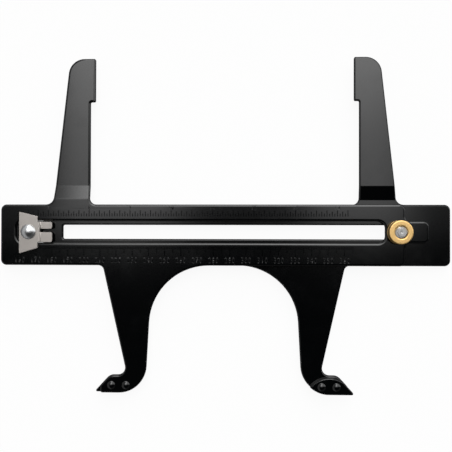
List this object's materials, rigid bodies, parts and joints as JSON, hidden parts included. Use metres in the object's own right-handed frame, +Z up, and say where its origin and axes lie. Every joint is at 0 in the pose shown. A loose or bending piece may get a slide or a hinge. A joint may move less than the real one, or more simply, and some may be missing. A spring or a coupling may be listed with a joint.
{
  "type": "brake drum gauge",
  "caption": "Sliding brake drum gauge of two stamped black plates: stepped jaws above, pointed feet below, a slot with a bright pointer and a brass clamp nut.",
  "frame": {"origin": "under the middle of the closed gauge as it lies on its back, at the lowest point of its box", "axes": "+X along the bar towards the clamp, +Y towards the jaws, +Z up through the plates to the scales"},
  "size_m": [0.2764, 0.2064, 0.0178],
  "materials": {
    "black_paint": "semi-gloss",
    "pointer_nickel": "satin",
    "polished_steel": "polished",
    "turned_brass": "turned",
    "screw_steel": "turned"
  },
  "bodies": {
    "front_half": {"front_plate": "black_paint", "front_foot_pad": "black_paint", "front_foot_rivet_inner": "black_paint", "front_foot_rivet_outer": "black_paint"},
    "back_half": {"back_plate": "black_paint", "back_foot_pad": "black_paint", "back_foot_rivet_inner": "black_paint", "back_foot_rivet_outer": "black_paint", "pointer": "pointer_nickel", "pointer_rivet": "polished_steel"},
    "nut": {"clamp_nut": "turned_brass"},
    "screw": {"clamp_screw": "screw_steel"}
  },
  "joints": [
    {"name": "plates_slide", "type": "slide", "parent": "front_half", "child": "back_half", "axis": [1, 0, 0], "range_m": [0, 0.202]},
    {"name": "nut_turn", "type": "hinge", "parent": "front_half", "child": "nut", "pos_m": [0.1064, -0.0043, 0.0094], "axis": [0, 0, 1], "range_deg": [0, 360]},
    {"name": "screw_release", "type": "slide", "parent": "front_half", "child": "screw", "axis": [0, 0, -1], "range_m": [0, 0.00125]}
  ],
  "couplings": [
    {"joint": "screw_release", "follows": "nut_turn", "m_per_rad": 0.00019894}
  ]
}
